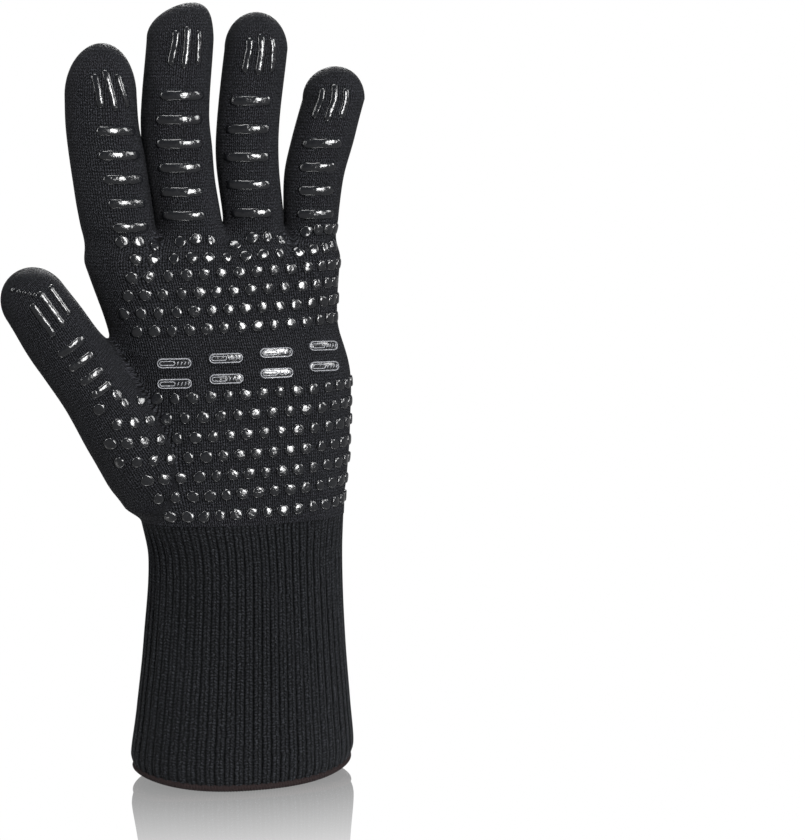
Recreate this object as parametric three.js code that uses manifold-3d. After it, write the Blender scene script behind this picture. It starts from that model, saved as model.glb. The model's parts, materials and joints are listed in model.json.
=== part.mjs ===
// A heat resistant glove for the left hand: a knitted aramid shell with a long ribbed cuff, a cotton
// lining inside it, a bound hem, and raised silicone bars across the palm. It stands on its hem.
// Units are millimetres. +Z runs from the hem to the fingertips, the palm faces -Y, and the thumb is
// on the -X side. The origin is the centre of the hem's plane under the middle of the whole glove.
//
// The shell and the lining bend with the hand inside them, so each is cut at the flex lines into
// stiff lengths. A wedge of soft knit fills the space that a bend needs on its inner side.
import * as THREE from "three";
import { mergeVertices } from "three/addons/utils/BufferGeometryUtils.js";
import Module from "manifold-3d";

const wasm = await Module();
wasm.setup();

// ---- driving dimensions ----
const SHELL_WALL = 1.6; // knitted aramid
const LINING_WALL = 1.9; // brushed cotton
const FIT_GAP = 0.3; // room between touching pieces
const GRIP_HEIGHT = 0.9; // silicone above the knit
const HEM_HEIGHT = 3.4;
const HEM_FLOOR = 1.2; // binding under the two layers' edges
const HEM_LEG = 0.8; // binding on each side of them
const FINGER_SIDES = 12;
const HAND_SIDES = 26;
const FINGER_DEPTH = 0.84; // a finger's thickness over its width
const HAND_SQUARENESS = 2.4; // 2 is an ellipse, more is boxier
const CUFF_SQUARENESS = 2.1;
const PALM_TOP = 234; // the webs between the fingers
const DOME_RISES = [0.42, 0.72, 0.91, 0.985]; // the sections of a round end, over its height
const FAR = 400; // past the glove in any direction
const CUFF_HEIGHTS = [0, 9, 30, 60, 80, 97];
const PALM_HEIGHTS = [60, 80, 97, 120, 145, 170, 190, 208, 222];

// How deep each surface lies under the outside of the knit
const LINING_OUTSIDE = SHELL_WALL + FIT_GAP;
const LINING_INSIDE = LINING_OUTSIDE + LINING_WALL;

// Rows of [height, centre x, half width, half depth] up the cuff and the palm
const HAND_ROWS = [
  [0, 22.6, 46.8, 30.6],
  [9, 22.9, 48.8, 31],
  [30, 23.5, 46.8, 29.6],
  [60, 24.4, 44, 26.6],
  [97, 24.9, 42.2, 24],
  [120, 23.4, 45, 21.5],
  [150, 22.4, 48.4, 19.5],
  [175, 21.4, 49.4, 17.8],
  [200, 16.4, 48.2, 16],
  [PALM_TOP, 10.6, 51.4, 13.5],
];

// Rows of [height, centre x, half width] up each finger, ending where its round tip starts.
// lean is how far the top of the round tip lies to +X of the finger below it.
const FINGERS = {
  index: {
    rows: [
      [190, -17, 9],
      [215, -22.6, 12.8],
      [237, -27.6, 15.2],
      [258, -30.8, 15.4],
      [280, -33.4, 15],
      [292, -33.8, 14.8],
    ],
    tip: 313.5,
    lean: 0.6,
    pivots: [242, 268, 291],
  },
  middle: {
    rows: [
      [190, 4.5, 8],
      [215, 3, 12.6],
      [237, 2.2, 13.9],
      [258, -0.9, 13.9],
      [284, -3.2, 14.3],
      [315, -0.4, 13.9],
    ],
    tip: 330,
    lean: 5,
    pivots: [242, 273, 300],
  },
  ring: {
    rows: [
      [190, 29.5, 8],
      [215, 30, 12],
      [237, 29.9, 12.9],
      [263, 27.3, 13.1],
      [284, 28.1, 13.2],
      [311, 31.5, 13.2],
    ],
    tip: 326,
    lean: 0,
    pivots: [242, 272, 298],
  },
  little: {
    rows: [
      [190, 50.5, 7],
      [215, 52.2, 9.8],
      [237, 54.2, 11.5],
      [258, 56.2, 12.8],
      [274, 60.1, 13.4],
      [290, 64.8, 13.2],
    ],
    tip: 303.6,
    lean: 0.7,
    pivots: [241, 263, 283],
  },
};

// The thumb's own line runs from its tip down into the heel of the hand
const THUMB_TIP = new THREE.Vector3(-71.8, -12, 221);
const THUMB_HEEL = new THREE.Vector3(-6, 0, 117.5);
// Rows of [distance from the tip, half width, half depth]
const THUMB_ROWS = [
  [134, 8, 8],
  [119, 14, 14.5],
  [103, 17.4, 17],
  [83, 16.4, 17],
  [62, 14.4, 14.6],
  [46, 14.6, 13.4],
  [31, 14.6, 13],
  [15, 13.8, 12.2],
];
const THUMB_PIVOTS = [50, 30]; // distances from the tip
const THUMB_CLOSES_TO = new THREE.Vector3(0.6, -0.8, 0); // across the palm and forward

// Two rows of raised bars across the palm, rising towards the little finger
const BAR_ROWS = { upper: 182, lower: 173.4 }; // height of the first bar in each row
const BARS_IN_ROW = 4;
const BAR_FIRST = -7.6;
const BAR_PITCH = [21.5, 1.6];
const BAR_LENGTH = 14;
const BAR_WIDTH = 4;

// The hand's bends: [most it bends back, most it bends in], in degrees
const WRIST_PIVOT = 97;
const WRIST_RANGE = [30, 40];
const FINGER_RANGES = [[10, 65], [0, 75], [0, 45]];
const THUMB_RANGES = [[10, 35], [0, 45]];
const RANGE_SPARE = 1; // degrees of room past each end of a range

const UP = new THREE.Vector3(0, 0, 1);
const ACROSS = new THREE.Vector3(1, 0, 0);
const PALMWARD = new THREE.Vector3(0, -1, 0);

// ---- materials ----
const knit = new THREE.MeshStandardMaterial({ color: 0x1c1d21, roughness: 0.95, metalness: 0 });
const binding = new THREE.MeshStandardMaterial({ color: 0x1d1517, roughness: 0.9, metalness: 0 });
const cotton = new THREE.MeshStandardMaterial({ color: 0x2b2c30, roughness: 1, metalness: 0 });
const silicone = new THREE.MeshStandardMaterial({ color: 0x17181a, roughness: 0.3, metalness: 0 });

// ---- solids ----

// A closed three.js geometry as a manifold-3d solid
function solidOf(geometry) {
  const bare = geometry.clone();
  bare.deleteAttribute("normal");
  bare.deleteAttribute("uv");
  const merged = mergeVertices(bare, 1e-4);
  return new wasm.Manifold(
    new wasm.Mesh({
      numProp: 3,
      vertProperties: new Float32Array(merged.attributes.position.array),
      triVerts: new Uint32Array(merged.index.array),
    }),
  );
}

// A solid back as a named mesh
function meshOf(name, solid, material) {
  const made = solid.getMesh();
  const points = new Float32Array(made.numVert * 3);
  for (let i = 0; i < made.numVert; i++) {
    points.set(made.vertProperties.subarray(i * made.numProp, i * made.numProp + 3), i * 3);
  }
  const geometry = new THREE.BufferGeometry()
    .setAttribute("position", new THREE.BufferAttribute(points, 3))
    .setIndex(new THREE.BufferAttribute(new Uint32Array(made.triVerts), 1));
  geometry.computeVertexNormals();
  const mesh = new THREE.Mesh(geometry, material);
  mesh.name = name;
  return mesh;
}

// The value of each column of rows at key, on a smooth curve through the rows
function along(rows, key) {
  const last = rows.length - 1;
  let i = 0;
  while (i < last - 1 && (rows[i + 1][0] - key) * (rows[last][0] - rows[0][0]) < 0) i++;
  const [from, to] = [rows[i], rows[i + 1]];
  const [before, after] = [rows[Math.max(i - 1, 0)], rows[Math.min(i + 2, last)]];
  const span = to[0] - from[0];
  const t = THREE.MathUtils.clamp((key - from[0]) / span, 0, 1);
  return from.slice(1).map((value, n) => {
    const [p, q] = [value, to[n + 1]];
    const slopeIn = ((q - before[n + 1]) / (to[0] - before[0])) * span;
    const slopeOut = ((after[n + 1] - p) / (after[0] - from[0])) * span;
    const [t2, t3] = [t * t, t * t * t];
    return (
      (2 * t3 - 3 * t2 + 1) * p + (t3 - 2 * t2 + t) * slopeIn + (3 * t2 - 2 * t3) * q + (t3 - t2) * slopeOut
    );
  });
}

// One solid through a stack of rounded sections {x, y, z, a, b, n}, lowest first
function stackOf(sections, sides) {
  const points = [];
  const faces = [];
  for (const { x, y, z, a, b, n } of sections) {
    for (let i = 0; i < sides; i++) {
      const turn = (2 * Math.PI * (i + 0.5)) / sides;
      const [c, s] = [Math.cos(turn), Math.sin(turn)];
      const across = Math.sign(c) * Math.abs(c) ** (2 / n);
      const through = Math.sign(s) * Math.abs(s) ** (2 / n);
      points.push(x + a * across, y + b * through, z);
    }
  }
  for (let row = 0; row < sections.length - 1; row++) {
    for (let i = 0; i < sides; i++) {
      const next = (i + 1) % sides;
      const [p, q] = [row * sides + i, row * sides + next];
      faces.push(p, q, q + sides, p, q + sides, p + sides);
    }
  }
  const top = (sections.length - 1) * sides;
  for (let i = 1; i < sides - 1; i++) {
    faces.push(0, i + 1, i);
    faces.push(top, top + i, top + i + 1);
  }
  const geometry = new THREE.BufferGeometry()
    .setAttribute("position", new THREE.BufferAttribute(new Float32Array(points), 3))
    .setIndex(faces);
  return solidOf(geometry);
}

// The sections of a round end: from is the last full section, and the end rises by height
function domeOver(from, height, lean = 0) {
  return DOME_RISES.map((rise) => {
    const share = Math.sqrt(1 - rise * rise);
    const place = { x: from.x + lean * rise * rise, z: from.z + height * rise };
    return { ...from, ...place, a: from.a * share, b: from.b * share };
  });
}

// The cuff between two heights, depth under its outside
function cuffSolid(depth, from, to) {
  const heights = [from, ...CUFF_HEIGHTS.filter((z) => z > from && z < to), to];
  return stackOf(heights.map((z) => handSection(z, depth)), HAND_SIDES);
}

function handSection(z, depth) {
  const [x, a, b] = along(HAND_ROWS, z);
  const n = z > WRIST_PIVOT ? HAND_SQUARENESS : CUFF_SQUARENESS;
  return { x, y: 0, z, a: a - depth, b: b - depth, n };
}

function palmSolid(depth) {
  const sections = PALM_HEIGHTS.map((z) => handSection(z, depth));
  const last = sections[sections.length - 1];
  sections.push(...domeOver(last, PALM_TOP - last.z - depth));
  return stackOf(sections, HAND_SIDES);
}

function fingerSolid({ rows, tip, lean }, depth) {
  const start = rows[rows.length - 1][0];
  const heights = rows.slice(0, -1).flatMap(([z], i) => (i > 0 ? [z, (z + rows[i + 1][0]) / 2] : [z]));
  const sections = [...heights, start].map((z) => {
    const [x, a] = along(rows, z);
    return { x, y: 0, z, a: a - depth, b: a * FINGER_DEPTH - depth, n: 2 };
  });
  sections[0].z += depth;
  const end = domeOver(sections[sections.length - 1], tip - start - depth, lean);
  return stackOf([...sections, ...end], FINGER_SIDES);
}

// The thumb's own frame: its X lies across the thumb, its Y away from the palm, its Z towards the tip
function thumbFrame() {
  const z = THUMB_TIP.clone().sub(THUMB_HEEL).normalize();
  const y = new THREE.Vector3(0, 1, 0);
  y.addScaledVector(z, -y.dot(z)).normalize();
  const x = y.clone().cross(z);
  return new THREE.Matrix4().makeBasis(x, y, z).setPosition(THUMB_TIP);
}

function thumbSolid(depth) {
  const sections = THUMB_ROWS.map(([s]) => {
    const [a, b] = along(THUMB_ROWS, s);
    return { x: 0, y: 0, z: -s, a: a - depth, b: b - depth, n: 2 };
  });
  sections[0].z += depth;
  const start = THUMB_ROWS[THUMB_ROWS.length - 1][0];
  const dome = domeOver(sections[sections.length - 1], start - depth);
  return stackOf([...sections, ...dome], FINGER_SIDES).transform(thumbFrame().elements);
}

// ---- flex lines ----

// A bend: pivot, the way the part runs, the way it bends, and how far it bends back and in
function bendAt(pivot, along_, inward, [back, into]) {
  const axis = along_.clone().cross(inward).normalize();
  return { pivot, along: along_, inward, axis, back: back + RANGE_SPARE, into: into + RANGE_SPARE };
}

// A solid with the given outline, in the plane of the bend: first inward, then along the part
function prismAt({ pivot, along: up, inward, axis }, outline, halfWidth) {
  const shape = new THREE.Shape(outline.map(([n, d]) => new THREE.Vector2(n, d)));
  const geometry = new THREE.ExtrudeGeometry(shape, { depth: 2 * halfWidth, bevelEnabled: false, steps: 1 });
  geometry.translate(0, 0, -halfWidth);
  const side = inward.clone().cross(up).normalize();
  geometry.applyMatrix4(new THREE.Matrix4().makeBasis(inward, up, side).setPosition(pivot));
  return solidOf(geometry);
}

const slope = (degrees) => Math.tan(THREE.MathUtils.degToRad(degrees / 2));

// Everything past the bend, less the room that the bend needs
function past(bend, halfWidth = FAR) {
  const rise = FIT_GAP / 2;
  const outline = [
    [0, rise],
    [FAR, rise + FAR * slope(bend.into)],
    [FAR, 2 * FAR],
    [-FAR, 2 * FAR],
    [-FAR, rise + FAR * slope(bend.back)],
  ];
  return prismAt(bend, outline, halfWidth);
}

// Everything before the bend, less the room that the bend needs
function before(bend, halfWidth = FAR) {
  const drop = -FIT_GAP / 2;
  const outline = [
    [0, drop],
    [-FAR, drop - FAR * slope(bend.back)],
    [-FAR, -2 * FAR],
    [FAR, -2 * FAR],
    [FAR, drop - FAR * slope(bend.into)],
  ];
  return prismAt(bend, outline, halfWidth);
}

// The wedge that the bend closes, on its inner side or on its outer side
function wedgeOf(bend, outer = false) {
  const [way, angle] = outer ? [-1, bend.back] : [1, bend.into];
  const start = 1.6;
  const open = (reach) => Math.max(reach * slope(angle) - FIT_GAP, 0.05);
  const outline = [
    [way * start, -open(start)],
    [way * FAR, -open(FAR)],
    [way * FAR, open(FAR)],
    [way * start, open(start)],
  ];
  return prismAt(bend, outer ? outline.reverse() : outline, FAR);
}

// ---- the glove ----
const glove = new THREE.Group();

function addPiece(name, solid, material) {
  glove.add(meshOf(name, solid, material));
}

const LAYERS = [
  { layer: "knit", outside: 0, inside: SHELL_WALL, material: knit },
  { layer: "lining", outside: LINING_OUTSIDE, inside: LINING_INSIDE, material: cotton },
];

function fingerBends({ rows, pivots }) {
  return pivots.map((z, i) => {
    const [x] = along(rows, z);
    return bendAt(new THREE.Vector3(x, 0, z), UP, PALMWARD, FINGER_RANGES[i]);
  });
}

function thumbBends() {
  const up = THUMB_TIP.clone().sub(THUMB_HEEL).normalize();
  const inward = THUMB_CLOSES_TO.clone();
  inward.addScaledVector(up, -inward.dot(up)).normalize();
  return THUMB_PIVOTS.map((s, i) =>
    bendAt(THUMB_TIP.clone().addScaledVector(up, -s), up, inward, THUMB_RANGES[i]),
  );
}

const wristBend = bendAt(new THREE.Vector3(0, 0, WRIST_PIVOT), UP, PALMWARD, WRIST_RANGE);

// Every digit as a function from depth to solid, with its bends and the names of its lengths
const digits = Object.entries(FINGERS).map(([name, finger]) => ({
  name,
  solid: (depth) => fingerSolid(finger, depth),
  bends: fingerBends(finger),
  lengths: ["lower", "middle", "tip"],
}));
digits.push({ name: "thumb", solid: thumbSolid, bends: thumbBends(), lengths: ["lower", "tip"] });

// The stiff lengths of each digit and the soft wedges at its bends
for (const { name, solid, bends, lengths } of digits) {
  for (const { layer, outside, inside, material } of LAYERS) {
    const wall = solid(outside).subtract(solid(inside));
    lengths.forEach((length, i) => {
      let piece = wall.intersect(past(bends[i]));
      if (bends[i + 1]) piece = piece.intersect(before(bends[i + 1]));
      addPiece(`${name}_${length}_${layer}`, piece, material);
    });
  }
  const wall = solid(0).subtract(solid(LINING_INSIDE));
  bends.forEach((bend, i) => {
    addPiece(`${name}_${lengths[i]}_crease`, wall.intersect(wedgeOf(bend)), knit);
  });
}

// The hand with the roots of its digits, one hollow piece in each layer
function handBody(depth, hollow) {
  return digits.reduce((body, { solid, bends }) => {
    const root = hollow ? solid(depth) : solid(depth).intersect(before(bends[0]));
    return body.add(root);
  }, palmSolid(depth));
}

const pastWrist = past(wristBend);
for (const { layer, outside, inside, material } of LAYERS) {
  const wall = handBody(outside, false).subtract(handBody(inside, true));
  addPiece(`palm_${layer}`, wall.intersect(pastWrist), material);
}

// A bar with round ends that follows the palm's surface
function barSolid(x, z) {
  const half = BAR_LENGTH / 2 - BAR_WIDTH / 2;
  const outline = new THREE.Shape();
  outline.absarc(half, 0, BAR_WIDTH / 2, -Math.PI / 2, Math.PI / 2);
  outline.absarc(-half, 0, BAR_WIDTH / 2, Math.PI / 2, (3 * Math.PI) / 2);
  const depth = HAND_ROWS[0][3];
  const options = { depth, bevelEnabled: false, steps: 1, curveSegments: 4 };
  const geometry = new THREE.ExtrudeGeometry(outline, options);
  geometry.rotateX(Math.PI / 2);
  geometry.translate(x, 0, z);
  const skin = palmSolid(-FIT_GAP - GRIP_HEIGHT).subtract(palmSolid(-FIT_GAP));
  return solidOf(geometry).intersect(skin);
}

for (const [row, z] of Object.entries(BAR_ROWS)) {
  for (let i = 0; i < BARS_IN_ROW; i++) {
    const bar = barSolid(BAR_FIRST + i * BAR_PITCH[0], z + i * BAR_PITCH[1]);
    addPiece(`grip_bar_${row}_${i + 1}`, bar, silicone);
  }
}

// The cuff's two layers, the soft wedges at the wrist, and the binding round their lower edges
const beforeWrist = before(wristBend);
const edge = HEM_FLOOR + FIT_GAP;
for (const { layer, outside, inside, material } of LAYERS) {
  const wall = cuffSolid(outside, edge, WRIST_PIVOT).subtract(cuffSolid(inside, -10, WRIST_PIVOT + 10));
  addPiece(`cuff_${layer}`, wall.intersect(beforeWrist), material);
}
const wristWall = palmSolid(0).subtract(palmSolid(LINING_INSIDE));
addPiece("wrist_crease_front", wristWall.intersect(wedgeOf(wristBend)), knit);
addPiece("wrist_crease_back", wristWall.intersect(wedgeOf(wristBend, true)), knit);

const hemOutside = -(FIT_GAP + HEM_LEG);
const hemInside = LINING_INSIDE + FIT_GAP + HEM_LEG;
const hemBlock = cuffSolid(hemOutside, 0, HEM_HEIGHT).subtract(cuffSolid(hemInside, -10, HEM_HEIGHT + 10));
const hemSlot = cuffSolid(-FIT_GAP, HEM_FLOOR, HEM_HEIGHT + 5).subtract(
  cuffSolid(LINING_INSIDE + FIT_GAP, HEM_FLOOR - 1, HEM_HEIGHT + 10),
);
addPiece("cuff_hem", hemBlock.subtract(hemSlot), binding);

export default glove;
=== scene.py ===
"""The heat resistant glove: knitted shell, ribbed cuff, bound hem, lining and silicone print."""
import json
import math
from functools import partial

import bpy
import numpy as np
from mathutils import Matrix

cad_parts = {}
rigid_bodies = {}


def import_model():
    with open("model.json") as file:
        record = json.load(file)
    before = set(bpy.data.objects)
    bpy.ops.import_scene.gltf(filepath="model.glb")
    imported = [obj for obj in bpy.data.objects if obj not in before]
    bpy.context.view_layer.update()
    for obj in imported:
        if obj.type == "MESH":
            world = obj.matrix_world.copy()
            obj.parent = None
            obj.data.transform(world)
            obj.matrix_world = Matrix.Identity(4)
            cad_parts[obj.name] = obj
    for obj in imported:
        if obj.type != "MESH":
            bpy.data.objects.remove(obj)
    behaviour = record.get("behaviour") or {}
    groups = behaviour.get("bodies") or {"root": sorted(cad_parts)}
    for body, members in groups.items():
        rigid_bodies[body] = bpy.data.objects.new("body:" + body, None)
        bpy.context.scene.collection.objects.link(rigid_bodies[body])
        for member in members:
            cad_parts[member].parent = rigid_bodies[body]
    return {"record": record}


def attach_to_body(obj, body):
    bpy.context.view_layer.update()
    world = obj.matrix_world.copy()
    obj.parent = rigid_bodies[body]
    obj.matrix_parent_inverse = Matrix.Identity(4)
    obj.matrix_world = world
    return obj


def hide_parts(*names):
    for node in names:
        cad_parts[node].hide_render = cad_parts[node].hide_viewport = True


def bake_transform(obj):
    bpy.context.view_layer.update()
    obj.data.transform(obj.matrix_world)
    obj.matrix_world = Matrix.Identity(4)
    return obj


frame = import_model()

import openvdb
from mathutils import Vector
from mathutils.bvhtree import BVHTree

for spare in ("Cube", "Light", "Camera"):
    if spare in bpy.data.objects:
        bpy.data.objects.remove(bpy.data.objects[spare], do_unlink=True)
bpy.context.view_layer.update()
JOINTS = {j["name"]: j for j in frame["record"]["behaviour"]["joints"]}
MM = 0.001

# ---- driving dimensions, in millimetres ----
FINE = 0.85  # grid of the shell's surface
COARSE = 2.2  # grid of the lining's surface
FINGER_DEPTH = 0.84
HAND_SQUARENESS = 2.4
CUFF_SQUARENESS = 2.1
PALM_TOP = 234.0
PALM_DOME = 222.0  # where the palm starts to close
CUFF_TOP = 113.0  # where the ribs end
WEB = 233.0  # the fingers bend above this
FINGERS_PART = 236.0  # and each finger's knit is closed round it above this
LINING_DEPTH = 2.2
SECTION_CHANGE = (95, 125)  # heights over which the cuff's section turns into the hand's
WALE = 1.9  # width of a column of stitches
COURSE = 1.35  # height of a row of stitches

# Rows of [height, centre x, half width, half depth]
HAND_ROWS = [
    [0, 22.6, 46.8, 30.6],
    [9, 22.9, 48.8, 31],
    [30, 23.5, 46.8, 29.6],
    [60, 24.4, 44, 26.6],
    [97, 24.9, 42.2, 24],
    [120, 23.4, 45, 21.5],
    [150, 22.4, 48.4, 19.5],
    [175, 21.4, 49.4, 17.8],
    [200, 16.4, 48.2, 16],
    [234, 10.6, 51.4, 13.5],
]

# Rows of [height, centre x, half width], the tip's height, and its lean: how far the top of the
# round tip lies to +X of the finger below it. The index and middle fingers are a little wider here
# than in the CAD, so that they touch.
FINGERS = {
    "index": (
        [
            [190, -17, 9],
            [215, -22.6, 12.8],
            [237, -27.4, 15.4],
            [258, -30.6, 15.7],
            [269, -32.1, 15.6],
            [280, -33.4, 15.1],
            [292, -33.8, 14.8],
        ],
        313.5,
        0.6,
    ),
    "middle": (
        [
            [190, 4.5, 8],
            [215, 3, 12.6],
            [237, 1.8, 14.4],
            [258, -1.2, 14.4],
            [270, -2.5, 14.6],
            [284, -3.2, 14.3],
            [315, -0.4, 13.9],
        ],
        330.0,
        5.0,
    ),
    "ring": (
        [
            [190, 29.5, 8],
            [215, 30, 12],
            [237, 29.9, 12.9],
            [263, 27.3, 13.1],
            [284, 28.1, 13.2],
            [311, 31.5, 13.2],
        ],
        326.0,
        0.0,
    ),
    "little": (
        [
            [190, 50.5, 7],
            [215, 52.2, 9.8],
            [237, 54.2, 11.5],
            [258, 56.2, 12.8],
            [274, 60.1, 13.4],
            [290, 64.8, 13.2],
        ],
        303.6,
        0.7,
    ),
}
FINGER_NAMES = list(FINGERS)

THUMB_TIP = np.array([-71.8, -12, 221])
THUMB_HEEL = np.array([-6, 0, 117.5])
# Rows of [distance from the tip, half width, half depth]
THUMB_ROWS = [
    [15, 13.8, 12.2],
    [31, 14.6, 13],
    [46, 14.6, 13.4],
    [62, 14.4, 14.6],
    [83, 16.4, 17],
    [103, 17.4, 17],
    [119, 14, 14.5],
    [134, 8, 8],
]
FINGER_FOOT = 190  # the fingers start here, inside the palm
THUMB_START, THUMB_END = THUMB_ROWS[0][0], THUMB_ROWS[-1][0]
THUMB_ROOT = 62.0  # the thumb's own length ends here, measured from its tip


HEEL_FOOT, HEEL_ROUND = 119, 7  # the thumb's mound closes below this height, over this length
WEB_MELT, ROOT_MELT, THUMB_MELT = 1.6, 8, 6.5  # how softly finger, palm and thumb join
FOLD_REACH = 9  # the knit folds this far above and below the wrist and the fingers' roots


# ---- smooth curves through rows ----
def curve(rows, samples=801):
    """A table of the smooth curve through rows: the keys, and the values there."""
    rows = np.array(rows, float)
    key, val = rows[:, 0], rows[:, 1:]
    slope = np.empty_like(val)
    slope[1:-1] = (val[2:] - val[:-2]) / (key[2:] - key[:-2])[:, None]
    slope[0] = (val[1] - val[0]) / (key[1] - key[0])
    slope[-1] = (val[-1] - val[-2]) / (key[-1] - key[-2])
    at = np.linspace(key[0], key[-1], samples)
    i = np.clip(np.searchsorted(key, at, side="right") - 1, 0, len(key) - 2)
    span = (key[i + 1] - key[i])[:, None]
    t = (at - key[i])[:, None] / span
    out = (
        (2 * t**3 - 3 * t**2 + 1) * val[i]
        + (t**3 - 2 * t**2 + t) * slope[i] * span
        + (3 * t**2 - 2 * t**3) * val[i + 1]
        + (t**3 - t**2) * slope[i + 1] * span
    )
    return at, out


def along(table, key):
    """The values of a curve at a key."""
    at, out = table
    return [np.interp(key, at, column) for column in out.T]


HAND = curve(HAND_ROWS)
FINGER_CURVES = {name: (curve(rows), rows[-1][0], *end) for name, (rows, *end) in FINGERS.items()}
THUMB = curve(THUMB_ROWS)
THUMB_UP = (THUMB_TIP - THUMB_HEEL) / np.linalg.norm(THUMB_TIP - THUMB_HEEL)
THUMB_BACK = np.array([0, 1.0, 0]) - THUMB_UP[1] * THUMB_UP
THUMB_BACK /= np.linalg.norm(THUMB_BACK)
THUMB_SIDE = np.cross(THUMB_BACK, THUMB_UP)


def step(a, b, x):
    """Rises smoothly from 0 at a to 1 at b."""
    t = np.clip((x - a) / (b - a), 0, 1)
    return t * t * (3 - 2 * t)


# ---- the hand's shape as signed distances, negative inside ----
def squareness(z):
    return CUFF_SQUARENESS + (HAND_SQUARENESS - CUFF_SQUARENESS) * step(*SECTION_CHANGE, z)


def palm_field(p):
    x, y, z = p.T
    c, a, b = along(HAND, z)
    n = squareness(z)
    flat = np.abs((x - c) / a) ** n + np.abs(y / b) ** n
    e = np.maximum(z - PALM_DOME, 0) / (PALM_TOP - PALM_DOME)
    return (np.sqrt(flat ** (2 / n) + e**2) - 1) * b


def finger_field(name, p):
    table, start, tip, lean = FINGER_CURVES[name]
    x, y, z = p.T
    c, a = along(table, np.minimum(z, start))
    b = a * FINGER_DEPTH
    e = np.maximum(z - start, 0) / (tip - start)
    c = c + lean * np.minimum(e, 1) ** 2
    f = (np.sqrt(((x - c) / a) ** 2 + (y / b) ** 2 + e**2) - 1) * b
    return np.maximum(f, FINGER_FOOT - z)


def thumb_coordinates(p):
    """Across the thumb, towards its back, and down from its tip."""
    q = p - THUMB_TIP
    return q @ THUMB_SIDE, q @ THUMB_BACK, -(q @ THUMB_UP)


def thumb_field(p):
    x, y, s = thumb_coordinates(p)
    a, b = along(THUMB, np.clip(s, THUMB_START, THUMB_END))
    e = np.maximum(THUMB_START - s, 0) / THUMB_START
    f = (np.sqrt((x / a) ** 2 + (y / b) ** 2 + e**2) - 1) * b
    heel = HEEL_ROUND * (np.maximum(HEEL_FOOT - p[:, 2], 0) / HEEL_ROUND) ** 1.4
    return np.maximum(f + heel, s - THUMB_END)


def melt(f, g, k):
    """The union of two shapes, rounded where they meet."""
    h = np.clip(0.5 + 0.5 * (g - f) / k, 0, 1)
    return g + (f - g) * h - k * h * (1 - h)


def finger_fields(p, kept=FINGER_NAMES):
    """The field of each finger. The fingers that aren't kept end a little above the webs."""
    end = 2 * np.maximum(p[:, 2] - FINGERS_PART, 0)
    return [finger_field(name, p) + (0 if name in kept else end) for name in FINGER_NAMES]


def hand_field(p, kept=FINGER_NAMES):
    each = finger_fields(p, kept)
    fingers = each[0]
    for other in each[1:]:
        fingers = melt(fingers, other, WEB_MELT)
    return melt(melt(fingers, palm_field(p), ROOT_MELT), thumb_field(p), THUMB_MELT)


def relief(p):
    """Slack and soft folds of the knit, in millimetres outwards."""
    x, y, z = p.T
    slack = 0.22 * np.sin(x / 8.3 + 1.7 * np.sin(z / 21)) * np.sin(z / 10.7 + 0.9 * np.sin(x / 13 + 1))
    folds = 0.25 * np.sin(z / 2.9 + 1.2 * np.sin(x / 9.0) + 0.6 * np.sin(y / 5.0))
    wrist = folds * np.exp(-(((z - 122) / FOLD_REACH) ** 2)) * 0.8
    roots = folds * np.exp(-(((z - 232) / FOLD_REACH) ** 2)) * 0.9
    return slack + wrist + roots


FAR = 30.0  # the distance that the grid holds outside the box


def surface_of(field, low, high, grid, project=3):
    """The zero surface of a field over a box as points and quads."""
    axes = [np.arange(low[i], high[i] + grid, grid) for i in range(3)]
    shape = tuple(len(a) for a in axes)
    values = np.empty(shape, np.float32)
    yy, zz = np.meshgrid(axes[1], axes[2], indexing="ij")
    for i, x in enumerate(axes[0]):
        p = np.stack([np.full(yy.size, x), yy.ravel(), zz.ravel()], 1)
        values[i] = field(p).reshape(yy.shape)
    volume = openvdb.FloatGrid(FAR)
    volume.copyFromArray(values)
    points, quads = volume.convertToQuads(0.0)
    points = np.array(points, float) * grid + np.array([a[0] for a in axes])
    quads = np.array(quads, int)
    for _ in range(project):
        f = field(points)
        g = gradient(field, points)
        points -= g * np.clip(f / np.maximum((g * g).sum(1), 0.05), -1, 1)[:, None]
    return points, quads


def gradient(field, points, h=0.05):
    steps = np.eye(3) * h
    return np.stack([(field(points + s) - field(points - s)) / (2 * h) for s in steps], 1)


def facing_out(points, quads, field):
    """Turns quads so that their faces point away from the inside."""
    a, b, c = (points[quads[:, i]] for i in range(3))
    normal = np.cross(b - a, c - a)
    out = gradient(field, points[quads[:, 0]])
    return quads[:, ::-1] if (normal * out).sum() < 0 else quads


# ---- meshes and materials ----
def mesh_object(name, points, faces, uv=None):
    """A smooth mesh. points in millimetres. uv holds a pair for each corner, face by face."""
    mesh = bpy.data.meshes.new(name)
    mesh.from_pydata((np.asarray(points) * MM).tolist(), [], [list(map(int, f)) for f in faces])
    if uv is not None:
        layer = mesh.uv_layers.new(name="Knit")
        layer.data.foreach_set("uv", np.asarray(uv, np.float32).ravel())
    mesh.polygons.foreach_set("use_smooth", [True] * len(mesh.polygons))
    mesh.update()
    obj = bpy.data.objects.new(name, mesh)
    bpy.context.scene.collection.objects.link(obj)
    return obj


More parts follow.
